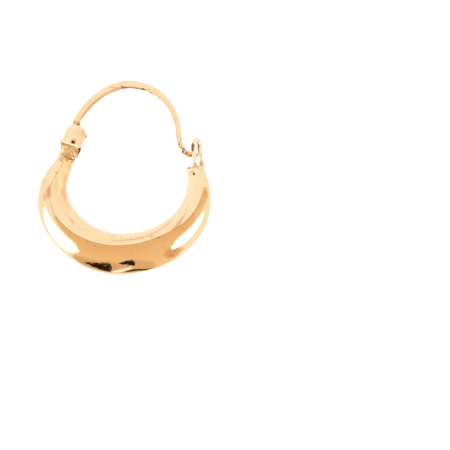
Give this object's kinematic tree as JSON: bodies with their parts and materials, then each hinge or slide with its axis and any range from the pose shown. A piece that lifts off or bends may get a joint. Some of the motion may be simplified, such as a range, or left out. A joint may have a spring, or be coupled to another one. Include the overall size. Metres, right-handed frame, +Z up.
{
  "type": "creole hoop earring",
  "caption": "Small hollow gold creole: a tapering crescent with a riveted ear wire that closes into a catch eye.",
  "frame": {"origin": "on the surface that the earring lies on, under the middle of its box", "axes": "+X towards the catch, +Y towards the ear wire, +Z up from the surface"},
  "size_m": [0.019, 0.0198, 0.0043],
  "materials": {
    "polished_gold": "polished rose-yellow gold",
    "rivet_gold": "polished yellow gold",
    "wire_gold": "hand-finished rose-yellow gold"
  },
  "bodies": {
    "hoop": {"hoop": "polished_gold", "hinge_rivet": "rivet_gold"},
    "ear_wire": {"ear_wire": "wire_gold"}
  },
  "joints": [
    {"name": "ear_wire_hinge", "type": "hinge", "parent": "hoop", "child": "ear_wire", "pos_m": [-0.00529, 0.00341, 0.00102], "axis": [0, 0.1017, 0.9948], "range_deg": [0, 90]}
  ]
}
